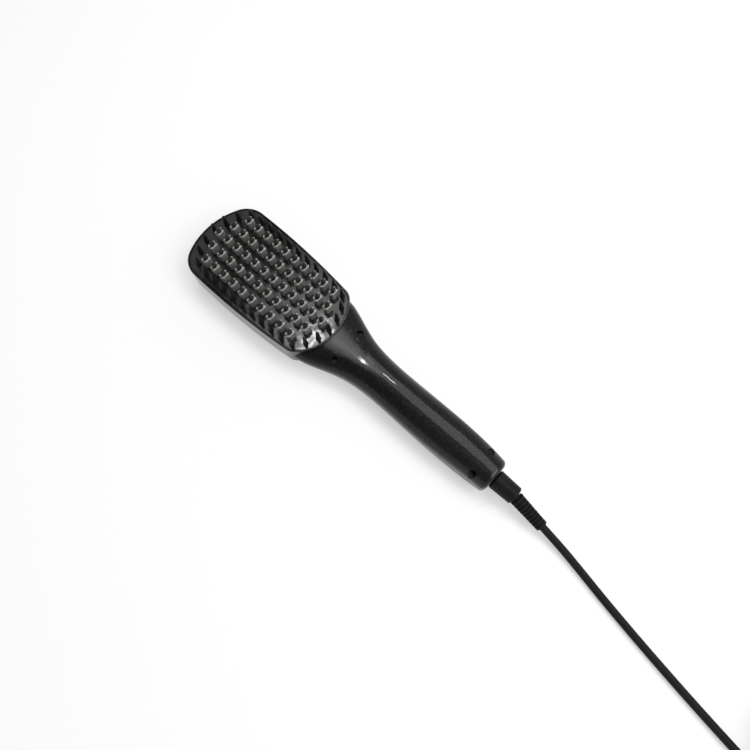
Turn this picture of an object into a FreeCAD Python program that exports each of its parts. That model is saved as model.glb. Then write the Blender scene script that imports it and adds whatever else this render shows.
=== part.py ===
import FreeCAD, Part
import math
import os

from FreeCAD import Vector

# Heated straightening brush lying on its back, teeth up, with its lead wound up behind it.
# Sizes are in millimetres. X runs from the head to the cord and is measured from the middle
# of the heaters; the finished pieces are moved so that the brush is centred on the origin.

# Tooth field: five staggered rows along the head
ROW_COUNTS = (10, 11, 12, 11, 10)
ROW_MARGIN = 4.8
ROW_END_MARGIN = 6.1
CORNER_TOOTH_REACH = 1.0
TOOTH_LENGTH = 5.8
TOOTH_THICKNESS = 4.2
TOOTH_CORNER = 1.3
TOOTH_HEIGHT = 7.4
SLOT_WIDTH = 1.9
SLOT_DEPTH = 2.2
LIP_ROUNDING = 0.4
TIP_CLEARANCE = 0.05
TIP_BALL = 3.4

# Plan outline of the head: apex distances, half widths and arc radii
HEAD_FAR = 63.9
HEAD_NEAR = 57.4
HEAD_FAR_HALF = 32.3
HEAD_NEAR_HALF = 28.6
HEAD_FAR_RADIUS = 52.0
HEAD_NEAR_RADIUS = 36.0
HEAD_FAR_CORNER = 17.0
HEAD_NEAR_CORNER = 10.0
HEAD_SIDE_RADIUS = 575.0

# Line on which the outer bristles stand, drawn in from the head outline
RING_FAR_INSET = 7.2
RING_NEAR_INSET = 5.1
RING_FAR_HALF_INSET = 5.9
RING_NEAR_HALF_INSET = 3.8
RING_FAR_RADIUS_INSET = 16.0
RING_NEAR_RADIUS_INSET = 4.0
RING_FAR_CORNER_INSET = 7.0
RING_NEAR_CORNER_INSET = 3.0
RING_SIDE_RADIUS = 900.0
SIDE_BRISTLES = 10
FAR_BRISTLES = 5
NEAR_BRISTLES = 7
BRISTLE_ROOT = 3.4
BRISTLE_TIP = 1.9
BRISTLE_HEIGHT = 10.0
BRISTLE_CROWN = 0.6
BRISTLE_FIT = 0.15

# Gaps between bristles, counted round the ring, that hold a screw or a pillar
PLATE_SCREW_GAPS = (0, 3, 7, 11, 16, 19, 24, 28)
PILLAR_GAPS = (5, 13, 22, 30)

# Housing
WALL = 2.0
RIM = 1.2
RIM_STAND = 0.4
GROOVE = 0.5
BACK_ROUND = 9.0
PARTING_Z = 14.9
LEDGE_TOP = 20.0
LEDGE_THICKNESS = 2.0
LEDGE_REACH = 3.2

# Neck and handle sections: place along X, half width, top line, bottom line
NECK_ROOT = (36.0, 26.3, 22.6, 2.2)
SHOULDER = (52.0, 25.7, 23.3, 1.6)
NECK_MIDDLE = (67.0, 20.4, 24.0, 1.7)
NECK_END = (80.0, 16.4, 24.9, 2.2)
WAIST = (96.0, 14.3, 25.8, 2.8)
GRIP = (133.0, 14.2, 26.4, 2.4)
TAIL_X = 192.5
TAIL_HALF = 11.6
TAIL_TOP = 25.4
TAIL_BOTTOM = -0.6
SECTION_FULLNESS = 2.3
SECTION_POINTS = 16
TAIL_ROUND = 3.0
TAIL_WALL = 3.0

# Heating stack under the teeth
FRAME_THICKNESS = 1.6
FRAME_INSET = 4.2
FRAME_GAP = 0.3
PLATE_THICKNESS = 2.3
HEATER_PITCHES = 8
HEATER_THICKNESS = 3.0
MICA_THICKNESS = 0.4
CLAMP_THICKNESS = 0.8
CLAMP_MARGIN = 2.0
CLAMP_BOSS_DIAMETER = 5.0
SHIELD_Z = 11.5
SHIELD_THICKNESS = 1.2
SHIELD_MARGIN = 1.0
PILLAR_DIAMETER = 4.6
PILLAR_INSET = 1.2

# Screws: shank, head diameter, head height
SMALL_SCREW = (2.0, 3.6, 1.2)
HOUSING_SCREW = (2.4, 4.2, 1.8)
SCREW_FIT = 0.1
SCREW_BITE = 1.5
WELL_DIAMETER = 4.6
WELL_SEAT_Z = 18.0
BOSS_WALL = 1.6
HOUSING_SCREW_LENGTH = 11.0
NECK_WELL = (68.5, 12.4)
TAIL_WELL = (180.6, 9.2)

# Control board, display and buttons on the back of the handle
BOARD_START = 94.0
BOARD_LENGTH = 62.0
BOARD_WIDTH = 20.0
BOARD_THICKNESS = 1.2
BOARD_Z = 11.5
BOARD_POST_INSET = 5.0
BOARD_POST_HALF = 7.0
BOARD_POST_DIAMETER = 4.4
PANEL_START = 104.0
PANEL_LENGTH = 52.0
PANEL_WIDTH = 15.0
PANEL_CORNER = 5.0
PANEL_Z = 4.4
PANEL_THICKNESS = 2.0
BUTTON_RISE = 1.2
BUTTON_TRAVEL = 0.6
BUTTON_FIT = 0.2
BUTTON_FLANGE = 0.8
FLANGE_THICKNESS = 0.7
FLANGE_GAP = 0.1
POWER_X = 112.0
POWER_DIAMETER = 8.0
UP_X = 142.6
DOWN_X = 151.0
TEMP_DIAMETER = 6.0
SWITCH_SIZE = 6.0
SWITCH_HEIGHT = 3.2
PLUNGER_DIAMETER = 3.2
WINDOW_X = 127.5
WINDOW_LENGTH = 18.0
WINDOW_WIDTH = 10.0
WINDOW_LIP = 1.0
WINDOW_LIP_THICKNESS = 0.8
DISPLAY_MARGIN = 0.5

# Swivel at the tail
NECK_DIAMETER = 9.2
RUNNING_FIT = 0.1
AXIAL_GAP = 0.3
FLANGE_DIAMETER = 13.0
FLANGE_WIDTH = 2.0
COLLAR_DIAMETER = 13.1
COLLAR_END_DIAMETER = 12.0
COLLAR_LENGTH = 16.2
COLLAR_ROUND = 0.8
SOCKET_DIAMETER = 9.8
SOCKET_DEPTH = 9.0
CORE_DIAMETER = 7.2
CORE_LENGTH = 17.0
SLIP_RING_DIAMETER = 9.2
SLIP_RING_WIDTH = 2.6
SLIP_RING_PITCH = 6.0
SLIP_RING_INSET = 3.0
CONTACT_THICKNESS = 0.4
CONTACT_WIDTH = 2.0
CARRIER_HALF = 4.6
CARRIER_LENGTH = 14.0
CARRIER_BASE_Z = 5.0

# Strain relief: it hangs from its root in the collar
BOOT_ROOT_SETBACK = 4.0
BOOT_ROOT_DIAMETER = 6.4
BOOT_ROOT_LENGTH = 3.5
BOOT_NECK = 5.5
BOOT_LENGTH = 28.0
BOOT_DIAMETER = 9.0
BOOT_END_DIAMETER = 7.8
BOOT_GROOVES = 8
BOOT_GROOVE_WIDTH = 1.1
BOOT_GROOVE_DEPTH = 0.7
BOOT_DIRECTION = Vector(1.0, -0.065, -0.24)

# Lead: diameter, hand-laid route from the boot to the coil, and the coil itself
CORD_DIAMETER = 5.0
CORD_LEAD = 16.0
CORD_ROUTE = (
    Vector(266.0, -5.6, 2.8),
    Vector(292.0, -10.6, 2.5),
    Vector(326.0, -16.2, 2.5),
    Vector(363.0, -21.5, 2.6),
    Vector(398.0, -26.0, 3.5),
)
COIL_START = Vector(428.0, -26.0, 3.5)
COIL_LAYERS = 4
COIL_LAYER_TURNS = 2.25
COIL_STEP = 5.5
COIL_MEAN_RADIUS = 26.0
TAIL_ROUTE = (
    Vector(452.0, -26.0, 20.0),
    Vector(474.0, -23.0, 15.0),
    Vector(496.0, -16.0, 8.8),
    Vector(517.0, -6.0, 6.8),
    Vector(536.0, 5.0, 6.8),
)
TIE_THICKNESS = 0.7
TIE_WIDTH = 12.0
TIE_GAP = 0.3

# Two-pin plug: distance from the cord, width, height of each section
PLUG_SECTIONS = ((0.0, 8.0, 8.0), (9.0, 9.6, 9.6), (18.0, 21.0, 12.0), (36.0, 26.0, 13.6))
PLUG_CORNER = 0.4
PIN_DIAMETER = 4.0
PIN_LENGTH = 19.0
PIN_SPACING = 18.6
PIN_POINT = 0.8

# Heights and places that follow from the sizes above
PLATE_BOTTOM = LEDGE_TOP + FRAME_THICKNESS
PLATE_TOP = PLATE_BOTTOM + PLATE_THICKNESS
HEAD_TOP = PLATE_TOP + RIM_STAND
LEDGE_BOTTOM = LEDGE_TOP - LEDGE_THICKNESS
HEATER_BOTTOM = PLATE_BOTTOM - HEATER_THICKNESS
CLAMP_BOTTOM = HEATER_BOTTOM - MICA_THICKNESS - CLAMP_THICKNESS
BOARD_TOP = BOARD_Z + BOARD_THICKNESS
PANEL_INSIDE = PANEL_Z + PANEL_THICKNESS
COLLAR_START = TAIL_X + AXIAL_GAP
COLLAR_END = COLLAR_START + COLLAR_LENGTH
FLANGE_END = TAIL_X - TAIL_WALL - AXIAL_GAP
CORE_START = FLANGE_END - FLANGE_WIDTH - CORE_LENGTH
MIDDLE_X = (COLLAR_END - HEAD_FAR) / 2
X_AXIS = Vector(1, 0, 0)
Y_AXIS = Vector(0, 1, 0)
Z_AXIS = Vector(0, 0, 1)


class Outline:
    """Closed plan outline of tangent arcs, alike on both sides of X. An offset changes only the radii."""

    def __init__(self, ends, halves, end_radii, corners, side):
        far, near = ends
        far_half, near_half = halves
        far_radius, near_radius = end_radii
        far_corner, near_corner = corners
        far_centre = Vector(far_radius - far, 0, 0)
        near_centre = Vector(near - near_radius, 0, 0)
        far_y = far_half - far_corner
        near_y = near_half - near_corner
        far_x = far_centre.x - math.sqrt((far_radius - far_corner) ** 2 - far_y**2)
        near_x = near_centre.x + math.sqrt((near_radius - near_corner) ** 2 - near_y**2)
        far_corner_centre = Vector(far_x, far_y, 0)
        near_corner_centre = Vector(near_x, near_y, 0)
        side_centre = circle_meeting(
            far_corner_centre, side - far_corner, near_corner_centre, side - near_corner
        )
        self.arcs = (
            (far_centre, far_radius),
            (far_corner_centre, far_corner),
            (side_centre, side),
            (near_corner_centre, near_corner),
            (near_centre, near_radius),
        )
        self.ends = ends
        self.halves = halves
        self.corner_reach = (-far_x, near_x)

    def joints(self, offset):
        """Points of the upper half, from the far apex to the near apex."""
        far, near = self.ends
        points = [Vector(-far - offset, 0, 0)]
        for (a, a_radius), (b, b_radius) in zip(self.arcs, self.arcs[1:]):
            big, radius, small = (a, a_radius, b) if a_radius > b_radius else (b, b_radius, a)
            points.append(big + (small - big).normalize() * (radius + offset))
        return points + [Vector(near + offset, 0, 0)]

    def wire(self, offset, z):
        points = self.joints(offset)
        upper = []
        lower = []
        for (centre, radius), start, end in zip(self.arcs, points, points[1:]):
            half_way = ((start - centre) + (end - centre)).normalize()
            middle = centre + half_way * (radius + offset)
            upper.append(Part.Arc(start, middle, end).toShape())
            lower.append(Part.Arc(mirrored(end), mirrored(middle), mirrored(start)).toShape())
        wire = Part.Wire(upper + lower[::-1])
        wire.translate(Vector(0, 0, z))
        return wire

    def block(self, offset, low, high):
        return Part.Face(self.wire(offset, low)).extrude(Vector(0, 0, high - low))

    def side_point(self, x):
        """Point of the outline at this X, on the +Y side."""
        across = Part.makeLine(Vector(x, 0, 0), Vector(x, 2 * max(self.halves), 0))
        return across.distToShape(self.wire(0, 0))[1][0][0]

    def end_points(self, low, high, count):
        """Points evenly spaced along the end of the outline between two places on X, from -Y to +Y."""
        reach = 2 * max(self.halves)
        part = self.wire(0, 0).common(box((low, -reach, -1), (high, reach, 1)))
        arc = Part.Wire(Part.__sortEdges__(part.Edges))
        return sorted(arc.discretize(Number=count + 2)[1:-1], key=lambda point: point.y)


def circle_meeting(a, a_radius, b, b_radius):
    """The point at these distances from two points, on the side away from them towards -Y."""
    between = b - a
    distance = between.Length
    along = (distance**2 + a_radius**2 - b_radius**2) / (2 * distance)
    direction = between.normalize()
    across = Vector(direction.y, -direction.x, 0)
    return a + direction * along + across * math.sqrt(a_radius**2 - along**2)


def mirrored(point):
    return Vector(point.x, -point.y, point.z)


def box(low, high):
    return Part.makeBox(high[0] - low[0], high[1] - low[1], high[2] - low[2], Vector(*low))


def rod(x, y, low, high, diameter):
    return Part.makeCylinder(diameter / 2, high - low, Vector(x, y, low))


def joined(shapes):
    return shapes[0].multiFuse(shapes[1:]) if len(shapes) > 1 else shapes[0]


def cut_all(shape, tools):
    return shape.cut(Part.makeCompound(tools))


def rounded_slab(length, width, corner, low, high):
    """Upright slab with rounded corners, centred on Z."""
    slab = box((-length / 2, -width / 2, low), (length / 2, width / 2, high))
    upright = [e for e in slab.Edges if abs(e.tangentAt(e.FirstParameter).z) > 0.5]
    return slab.makeFillet(corner, upright)


def moved(shape, x, y, z=0.0):
    copy = shape.copy()
    copy.translate(Vector(x, y, z))
    return copy


def turned(profile, axis_z):
    """Solid of revolution about the line along X at this height; the profile lists x and radius."""
    points = [Vector(x, 0, axis_z + radius) for x, radius in profile]
    face = Part.Face(Part.makePolygon(points + points[:1]))
    return face.revolve(Vector(0, 0, axis_z), X_AXIS, 360)


def edges_at_height(shape, z):
    return [e for e in shape.Edges if all(abs(v.Z - z) < 1e-6 for v in e.Vertexes)]


def screw(x, y, seat, length, size, up):
    """Screw whose head bears on the seat; its shank runs up or down from there."""
    shank, head, height = size
    way = 1 if up else -1
    body = Part.makeCylinder(shank / 2, length, Vector(x, y, seat), Z_AXIS * way)
    cap = Part.makeCylinder(head / 2, height, Vector(x, y, seat), Z_AXIS * -way)
    return body.fuse(cap)


HEAD = Outline(
    (HEAD_FAR, HEAD_NEAR),
    (HEAD_FAR_HALF, HEAD_NEAR_HALF),
    (HEAD_FAR_RADIUS, HEAD_NEAR_RADIUS),
    (HEAD_FAR_CORNER, HEAD_NEAR_CORNER),
    HEAD_SIDE_RADIUS,
)
RING = Outline(
    (HEAD_FAR - RING_FAR_INSET, HEAD_NEAR - RING_NEAR_INSET),
    (HEAD_FAR_HALF - RING_FAR_HALF_INSET, HEAD_NEAR_HALF - RING_NEAR_HALF_INSET),
    (HEAD_FAR_RADIUS - RING_FAR_RADIUS_INSET, HEAD_NEAR_RADIUS - RING_NEAR_RADIUS_INSET),
    (HEAD_FAR_CORNER - RING_FAR_CORNER_INSET, HEAD_NEAR_CORNER - RING_NEAR_CORNER_INSET),
    RING_SIDE_RADIUS,
)

# The tooth field fills the ring, and the heaters lie under it
FIELD_X = (RING.ends[1] - RING.ends[0]) / 2
ROW_PITCH = (min(RING.halves) - ROW_MARGIN) / 2
TOOTH_PITCH = min(
    (RING.corner_reach[0] + FIELD_X + CORNER_TOOTH_REACH) / ((ROW_COUNTS[0] - 1) / 2),
    (RING.corner_reach[1] - FIELD_X + CORNER_TOOTH_REACH) / ((ROW_COUNTS[0] - 1) / 2),
    (sum(RING.ends) / 2 - ROW_END_MARGIN) / ((max(ROW_COUNTS) - 1) / 2),
)
HEATER_LENGTH = HEATER_PITCHES * TOOTH_PITCH
HEATER_WIDTH = 1.4 * ROW_PITCH
HEATER_SPACING = 2.2 * ROW_PITCH
CLAMP_BOSS_SPACING = 0.43 * HEATER_LENGTH


def bristle_groups():
    """Bristles in order round the head; those along the sides keep step with the teeth."""
    first = FIELD_X - SIDE_BRISTLES / 2 * TOOTH_PITCH
    last = first + (SIDE_BRISTLES - 1) * TOOTH_PITCH
    right = [RING.side_point(first + k * TOOTH_PITCH) for k in range(SIDE_BRISTLES)]
    far, near = RING.ends
    return {
        "bristles_far": RING.end_points(-far - 1, first, FAR_BRISTLES),
        "bristles_right": right,
        "bristles_near": RING.end_points(last, near + 1, NEAR_BRISTLES)[::-1],
        "bristles_left": [mirrored(point) for point in right[::-1]],
    }


def between_bristles(gap, inset=0.0):
    """Middle of a gap between neighbouring bristles, or a point further in from there."""
    start = BRISTLES[gap]
    end = BRISTLES[(gap + 1) % len(BRISTLES)]
    along = (end - start).normalize()
    return (start + end) * 0.5 + Vector(along.y, -along.x, 0) * inset


BRISTLES = [point for group in bristle_groups().values() for point in group]
PLATE_SCREWS = [between_bristles(gap) for gap in PLATE_SCREW_GAPS]
PILLARS = [between_bristles(gap, PILLAR_INSET) for gap in PILLAR_GAPS]


# Housing


def section(x, half_width, top, bottom, inset):
    """Closed section across the handle, full above and below the parting line; its seam is low down."""
    points = []
    for step in range(SECTION_POINTS):
        angle = 2 * math.pi * step / SECTION_POINTS - math.pi / 4
        reach = (top - PARTING_Z if math.sin(angle) > 0 else PARTING_Z - bottom) - inset
        y = fuller(math.cos(angle)) * (half_width - inset)
        points.append(Vector(x, y, PARTING_Z + fuller(math.sin(angle)) * reach))
    curve = Part.BSplineCurve()
    curve.interpolate(Points=points, PeriodicFlag=True)
    return Part.Wire([curve.toShape()])


def fuller(share):
    return math.copysign(abs(share) ** (2 / SECTION_FULLNESS), share)


def grip_form(inset, end):
    """Neck and handle up to the tail, drawn in on every side by the inset."""
    places = [NECK_ROOT, SHOULDER, NECK_MIDDLE, NECK_END, WAIST, GRIP]
    places.append((end, TAIL_HALF, TAIL_TOP, TAIL_BOTTOM))
    return Part.makeLoft([section(*place, inset) for place in places], True, False)


def housing_form():
    head = HEAD.block(0, 0, HEAD_TOP)
    head = head.makeFillet(BACK_ROUND, edges_at_height(head, 0))
    head = head.makeFillet(0.8 * RIM, edges_at_height(head, HEAD_TOP))
    grip = grip_form(0, TAIL_X)
    tail_edges = [e for e in grip.Edges if all(abs(v.X - TAIL_X) < 1e-6 for v in e.Vertexes)]
    grip = grip.makeFillet(TAIL_ROUND, tail_edges)
    floor = box((-HEAD_FAR, -HEAD_FAR, TAIL_BOTTOM - WALL), (COLLAR_END, HEAD_FAR, 0))
    return head.fuse(grip.cut(floor))


def housing_cavity():
    head = HEAD.block(-WALL, WALL, LEDGE_BOTTOM)
    head = head.makeFillet(BACK_ROUND - WALL, edges_at_height(head, WALL))
    rim_zone = HEAD.block(0, LEDGE_BOTTOM, HEAD_TOP)
    grip = grip_form(WALL, TAIL_X - TAIL_WALL)
    return head.fuse(grip.cut(rim_zone))


def wells():
    return [(x, side * y) for x, y in (NECK_WELL, TAIL_WELL) for side in (1, -1)]


def make_front_shell(form, cavity):
    above = box((-HEAD_FAR, -HEAD_FAR, PARTING_Z), (COLLAR_END, HEAD_FAR, HEAD_TOP + HEAD_FAR))
    bosses = [rod(x, y, PARTING_Z, HEAD_TOP, WELL_DIAMETER + 2 * BOSS_WALL) for x, y in wells()]
    shell = form.cut(cavity).fuse(Part.makeCompound(bosses).common(form)).common(above)
    shank, _, _ = HOUSING_SCREW
    tools = [HEAD.block(-RIM, LEDGE_TOP, HEAD_TOP + WALL)]
    tools.append(RING.block(-LEDGE_REACH, LEDGE_BOTTOM - WALL, HEAD_TOP))
    for x, y in wells():
        tools.append(rod(x, y, WELL_SEAT_Z, TAIL_TOP + HEAD_TOP, WELL_DIAMETER))
        tools.append(rod(x, y, PARTING_Z - WALL, WELL_SEAT_Z + WALL, shank + 2 * SCREW_FIT))
    small_hole = SMALL_SCREW[0] + 2 * SCREW_FIT
    tools += [rod(p.x, p.y, LEDGE_BOTTOM - WALL, HEAD_TOP, small_hole) for p in PLATE_SCREWS]
    tools += [rod(p.x, p.y, LEDGE_BOTTOM - WALL, LEDGE_BOTTOM + SCREW_BITE, small_hole) for p in PILLARS]
    tools.append(tail_bore())
    return cut_all(shell, tools)


def tail_bore():
    diameter = NECK_DIAMETER + 2 * RUNNING_FIT
    start = Vector(TAIL_X - TAIL_WALL - WALL, 0, PARTING_Z)
    return Part.makeCylinder(diameter / 2, TAIL_WALL + 2 * WALL, start, X_AXIS)


def panel_slab(margin, low, high):
    slab = rounded_slab(PANEL_LENGTH + 2 * margin, PANEL_WIDTH + 2 * margin, PANEL_CORNER, low, high)
    return moved(slab, PANEL_START + PANEL_LENGTH / 2, 0)


def board_posts():
    first = BOARD_START + BOARD_POST_INSET
    last = BOARD_START + BOARD_LENGTH - BOARD_POST_INSET
    return [(x, side * BOARD_POST_HALF) for x in (first, last) for side in (1, -1)]


def make_back_shell(form, cavity):
    below = box((-HEAD_FAR, -HEAD_FAR, -WALL), (COLLAR_END, HEAD_FAR, PARTING_Z))
    shank, _, _ = HOUSING_SCREW
    solids = [rod(x, y, 0, PARTING_Z, shank + 2 * BOSS_WALL + 2 * SCREW_FIT) for x, y in wells()]
    solids += [rod(x, y, 0, BOARD_Z, BOARD_POST_DIAMETER) for x, y in board_posts()]
    solids.append(panel_slab(WALL / 2, 0, PANEL_INSIDE))
    carrier_end = CORE_START + CARRIER_LENGTH
    solids.append(box((CORE_START, -CARRIER_HALF, 0), (carrier_end, CARRIER_HALF, CARRIER_BASE_Z)))
    shell = form.cut(cavity).fuse([s.common(form) for s in solids]).common(below)
    tools = [panel_slab(0, -WALL, PANEL_Z), tail_bore()]
    for x, y in wells():
        low = WELL_SEAT_Z - HOUSING_SCREW_LENGTH - SCREW_BITE
        tools.append(rod(x, y, low, PARTING_Z + WALL, shank + 2 * SCREW_FIT))
    for x, y in board_posts():
        tools.append(rod(x, y, PANEL_INSIDE, BOARD_Z + WALL, SMALL_SCREW[0] + 2 * SCREW_FIT))
    for x, diameter in buttons().values():
        tools.append(rod(x, 0, 0, BOARD_Z, diameter + 2 * BUTTON_FIT))
    tools.append(window_slab(0, 0, BOARD_Z))
    return cut_all(shell, tools)


def make_housing_screws():
    return [screw(x, y, WELL_SEAT_Z, HOUSING_SCREW_LENGTH, HOUSING_SCREW, False) for x, y in wells()]


# Teeth, bristles and the plate that carries them


def tooth_places(row):
    count = ROW_COUNTS[row]
    y = (row - (len(ROW_COUNTS) - 1) / 2) * ROW_PITCH
    return [(FIELD_X + (k - (count - 1) / 2) * TOOTH_PITCH, y) for k in range(count)]


def make_tooth():
    """Upright fin with a slot between two rounded lips; the cool tip stands in the slot."""
    top = PLATE_TOP + TOOTH_HEIGHT
    x, y = TOOTH_THICKNESS / 2, TOOTH_LENGTH / 2
    half = SLOT_WIDTH / 2
    slot = box((-half, -TOOTH_LENGTH, top - SLOT_DEPTH), (half, TOOTH_LENGTH, top + SLOT_DEPTH))
    blank = box((-x, -y, PLATE_TOP), (x, y, top)).cut(slot)
    lip_edges = [e for e in edges_at_height(blank, top) if abs(e.tangentAt(e.FirstParameter).y) > 0.5]
    blank = blank.makeFillet(LIP_ROUNDING * (x - half), lip_edges)
    return blank.common(rounded_slab(TOOTH_THICKNESS, TOOTH_LENGTH, TOOTH_CORNER, PLATE_TOP, top))


def make_tip():
    """Cool tip: a ball on a stem that stands in the slot, widest above the lips."""
    top = PLATE_TOP + TOOTH_HEIGHT
    stem_radius = SLOT_WIDTH / 2 - TIP_CLEARANCE
    ball_radius = TIP_BALL / 2
    lift = math.sqrt(ball_radius**2 - stem_radius**2)
    stem = Part.makeCylinder(stem_radius, SLOT_DEPTH + lift, Vector(0, 0, top - SLOT_DEPTH))
    ball = Part.makeSphere(ball_radius, Vector(0, 0, top + lift))
    return stem.fuse(ball).removeSplitter()


def make_bristle():
    """Tapered pin on a straight root that passes through the plate into the frame."""
    root = Part.makeCylinder(BRISTLE_ROOT / 2, PLATE_THICKNESS, Vector(0, 0, PLATE_BOTTOM))
    taper_height = BRISTLE_HEIGHT - BRISTLE_CROWN
    taper = Part.makeCone(BRISTLE_ROOT / 2, BRISTLE_TIP / 2, taper_height, Vector(0, 0, PLATE_TOP))
    crown_start = Vector(0, 0, PLATE_TOP + taper_height)
    crown = Part.makeCone(BRISTLE_TIP / 2, BRISTLE_TIP / 4, BRISTLE_CROWN, crown_start)
    return joined([root, taper, crown])


def make_heating_plate():
    plate = HEAD.block(-RIM - GROOVE, PLATE_BOTTOM, PLATE_TOP)
    bosses = [rod(x, 0, HEATER_BOTTOM, PLATE_BOTTOM, CLAMP_BOSS_DIAMETER) for x in clamp_bosses()]
    hole = BRISTLE_ROOT + 2 * BRISTLE_FIT
    small_hole = SMALL_SCREW[0] + 2 * SCREW_FIT
    tools = [rod(p.x, p.y, PLATE_BOTTOM - WALL, PLATE_TOP + WALL, hole) for p in BRISTLES]
    tools += [rod(p.x, p.y, PLATE_BOTTOM - WALL, PLATE_BOTTOM + SCREW_BITE, small_hole) for p in PLATE_SCREWS]
    tools += [rod(x, 0, CLAMP_BOTTOM, PLATE_BOTTOM, small_hole) for x in clamp_bosses()]
    return cut_all(joined([plate] + bosses), tools)


def make_bristle_frame():
    ring = HEAD.block(-RIM - GROOVE - FRAME_GAP, LEDGE_TOP, PLATE_BOTTOM)
    inside = RING.block(-FRAME_INSET, LEDGE_TOP - WALL, PLATE_TOP)
    hole = SMALL_SCREW[0] + 2 * SCREW_FIT
    return cut_all(ring, [inside] + [rod(p.x, p.y, LEDGE_TOP - WALL, PLATE_TOP, hole) for p in PLATE_SCREWS])


def make_plate_screws():
    length = LEDGE_THICKNESS + FRAME_THICKNESS + SCREW_BITE - SCREW_FIT
    return [screw(p.x, p.y, LEDGE_BOTTOM, length, SMALL_SCREW, True) for p in PLATE_SCREWS]


# Heaters and what holds them


def clamp_bosses():
    return (-CLAMP_BOSS_SPACING, 0.0, CLAMP_BOSS_SPACING)


def make_ptc_heaters():
    half_length = HEATER_LENGTH / 2
    heaters = []
    for side in (1, -1):
        inner = side * HEATER_SPACING / 2 - HEATER_WIDTH / 2
        heaters.append(
            box((-half_length, inner, HEATER_BOTTOM), (half_length, inner + HEATER_WIDTH, PLATE_BOTTOM))
        )
    return heaters


def heater_sheet(margin, low, high):
    half_length = HEATER_LENGTH / 2 + margin
    half_width = (HEATER_SPACING + HEATER_WIDTH) / 2 + margin
    sheet = box((-half_length, -half_width, low), (half_length, half_width, high))
    hole = SMALL_SCREW[0] + 2 * SCREW_FIT
    return cut_all(sheet, [rod(x, 0, low - WALL, high + WALL, hole) for x in clamp_bosses()])


def make_mica_sheet():
    return heater_sheet(0, HEATER_BOTTOM - MICA_THICKNESS, HEATER_BOTTOM)


def make_heater_clamp():
    """Pressed steel sheet with its long edges turned down for stiffness."""
    top = HEATER_BOTTOM - MICA_THICKNESS
    sheet = heater_sheet(CLAMP_MARGIN / 2, CLAMP_BOTTOM, top)
    bounds = sheet.BoundBox
    flanges = []
    for y in (bounds.YMin, bounds.YMax - CLAMP_THICKNESS):
        low = (bounds.XMin, y, CLAMP_BOTTOM - CLAMP_MARGIN)
        flanges.append(box(low, (bounds.XMax, y + CLAMP_THICKNESS, CLAMP_BOTTOM)))
    return joined([sheet] + flanges).removeSplitter()


def make_clamp_screws():
    length = PLATE_BOTTOM - CLAMP_BOTTOM - SCREW_FIT
    return [screw(x, 0, CLAMP_BOTTOM, length, SMALL_SCREW, True) for x in clamp_bosses()]


def make_heat_shield():
    tray = RING.block(SHIELD_MARGIN, SHIELD_Z, SHIELD_Z + SHIELD_THICKNESS)
    pillars = [rod(p.x, p.y, SHIELD_Z, LEDGE_BOTTOM, PILLAR_DIAMETER) for p in PILLARS]
    inside = HEAD.block(-WALL - FRAME_GAP, SHIELD_Z, LEDGE_BOTTOM)
    hole = SMALL_SCREW[0] + 2 * SCREW_FIT
    drills = [rod(p.x, p.y, SHIELD_Z - WALL, LEDGE_TOP, hole) for p in PILLARS]
    return cut_all(joined([tray] + pillars).common(inside), drills)


def make_shield_screws():
    length = LEDGE_BOTTOM - SHIELD_Z + SCREW_BITE - SCREW_FIT
    return [screw(p.x, p.y, SHIELD_Z, length, SMALL_SCREW, True) for p in PILLARS]


def make_thermistor():
    """Flat sensor between the heaters, against the plate."""
    length, width, thickness = 6.0, 3.0, 1.6
    x = CLAMP_BOSS_SPACING / 2
    return box(
        (x - length / 2, -width / 2, PLATE_BOTTOM - thickness),
        (x + length / 2, width / 2, PLATE_BOTTOM),
    )


def make_thermal_fuse():
    """Metal-cased fuse between the heaters, with a flat where it lies on the plate."""
    diameter, length, flat = 3.6, 10.0, 0.3
    start = Vector(-(CLAMP_BOSS_SPACING + length) / 2, 0, PLATE_BOTTOM - diameter / 2 + flat)
    case = Part.makeCylinder(diameter / 2, length, start, X_AXIS)
    return case.common(heater_zone())


def heater_zone():
    half = HEATER_LENGTH / 2
    return box((-half, -half, HEATER_BOTTOM), (half, half, PLATE_BOTTOM))


# Cords and wires


def bent_path(points):
    """Straight runs joined by tangent arcs, each as large as its two runs allow."""
    edges = []
    radii = []
    start = points[0]
    for before, corner, after in zip(points, points[1:], points[2:]):
        run_in = corner - before
        run_out = after - corner
        half_turn = run_in.getAngle(run_out) / 2
        setback = 0.45 * min(run_in.Length, run_out.Length)
        radius = setback / math.tan(half_turn)
        arc_start = corner - run_in.normalize() * setback
        arc_end = corner + run_out.normalize() * setback
        towards_centre = ((arc_start - corner) + (arc_end - corner)).normalize()
        middle = corner + towards_centre * (radius / math.cos(half_turn) - radius)
        edges.append(Part.LineSegment(start, arc_start).toShape())
        edges.append(Part.Arc(arc_start, middle, arc_end).toShape())
        radii.append(radius)
        start = arc_end
    edges.append(Part.LineSegment(start, points[-1]).toShape())
    return Part.Wire(edges), radii


def swept(path, diameter):
    start = path.OrderedEdges[0]
    origin = start.valueAt(start.FirstParameter)
    direction = start.tangentAt(start.FirstParameter)
    ring = Part.Wire(Part.makeCircle(diameter / 2, origin, direction))
    return path.makePipeShell([ring], True, False)


def tube(name, points, diameter):
    path, radii = bent_path(points)
    solid = swept(path, diameter)
    expected = math.pi * diameter**2 / 4 * path.Length
    print(f"{name}: length {path.Length:.1f}, volume {solid.Volume / expected:.4f} of section by length")
    print(f"{name}: radii", " ".join(f"{radius:.0f}" for radius in radii))
    return solid


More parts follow.
